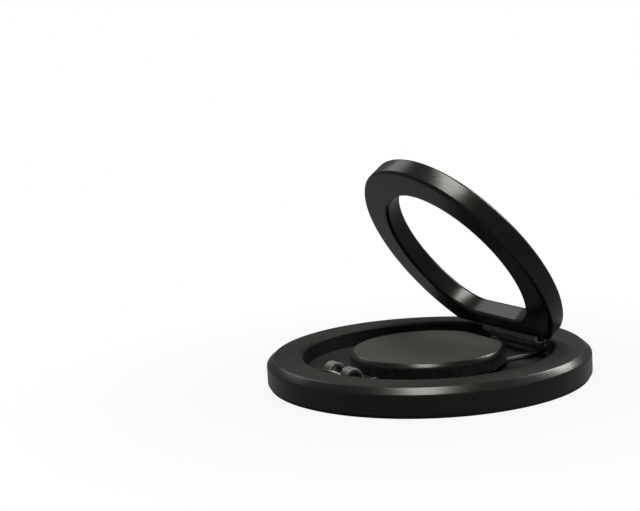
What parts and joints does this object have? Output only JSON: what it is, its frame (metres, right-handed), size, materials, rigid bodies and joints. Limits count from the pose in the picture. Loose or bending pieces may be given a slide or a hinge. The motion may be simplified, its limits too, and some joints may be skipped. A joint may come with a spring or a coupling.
{
  "type": "magnetic phone holder",
  "caption": "Flat round magnetic phone holder with a swivelling hub and a D-shaped finger ring that folds out of its recess to serve as a grip or stand.",
  "frame": {"origin": "middle of the flat face that goes against the phone", "axes": "+Z out of the phone, towards the folding ring; +Y towards the ring's hinge; X along the hinge axis"},
  "size_m": [0.058, 0.058, 0.0393],
  "materials": {
    "black_body": "satin black anodised",
    "black_hub": "satin black anodised",
    "black_ring": "satin black anodised",
    "black_steel": "black coated sheet steel",
    "pin_steel": "blackened steel",
    "soft_pad": "matte silicone",
    "shunt_steel": "zinc plated",
    "slide_plastic": "natural acetal",
    "spring_steel": "spring temper",
    "screw_steel": "machined",
    "magnet_plating": "nickel plated"
  },
  "bodies": {
    "base": {"base_shell": "black_body", "contact_pad": "soft_pad", "shunt_ring": "shunt_steel", "magnet_01": "magnet_plating", "magnet_02": "magnet_plating", "magnet_03": "magnet_plating", "magnet_04": "magnet_plating", "magnet_05": "magnet_plating", "magnet_06": "magnet_plating", "magnet_07": "magnet_plating", "magnet_08": "magnet_plating", "magnet_09": "magnet_plating", "magnet_10": "magnet_plating", "magnet_11": "magnet_plating", "magnet_12": "magnet_plating", "magnet_13": "magnet_plating", "magnet_14": "magnet_plating", "magnet_15": "magnet_plating", "magnet_16": "magnet_plating", "magnet_17": "magnet_plating", "magnet_18": "magnet_plating", "disc_spring": "spring_steel", "pivot_screw": "screw_steel"},
    "swivel": {"swivel_plate": "black_steel", "hub_cap": "black_hub", "hinge_pin": "pin_steel", "thrust_washer": "slide_plastic", "friction_washer_1": "spring_steel", "friction_washer_2": "spring_steel"},
    "ring": {"fold_ring": "black_ring"}
  },
  "joints": [
    {"name": "hub_swivel", "type": "hinge", "parent": "base", "child": "swivel", "pos_m": [0, 0, 0.002], "axis": [0, 0, 1], "continuous": true},
    {"name": "ring_fold", "type": "hinge", "parent": "swivel", "child": "ring", "pos_m": [0, 0.0194, 0.005], "axis": [-1, 0, 0], "range_deg": [-51.2, 76]}
  ]
}
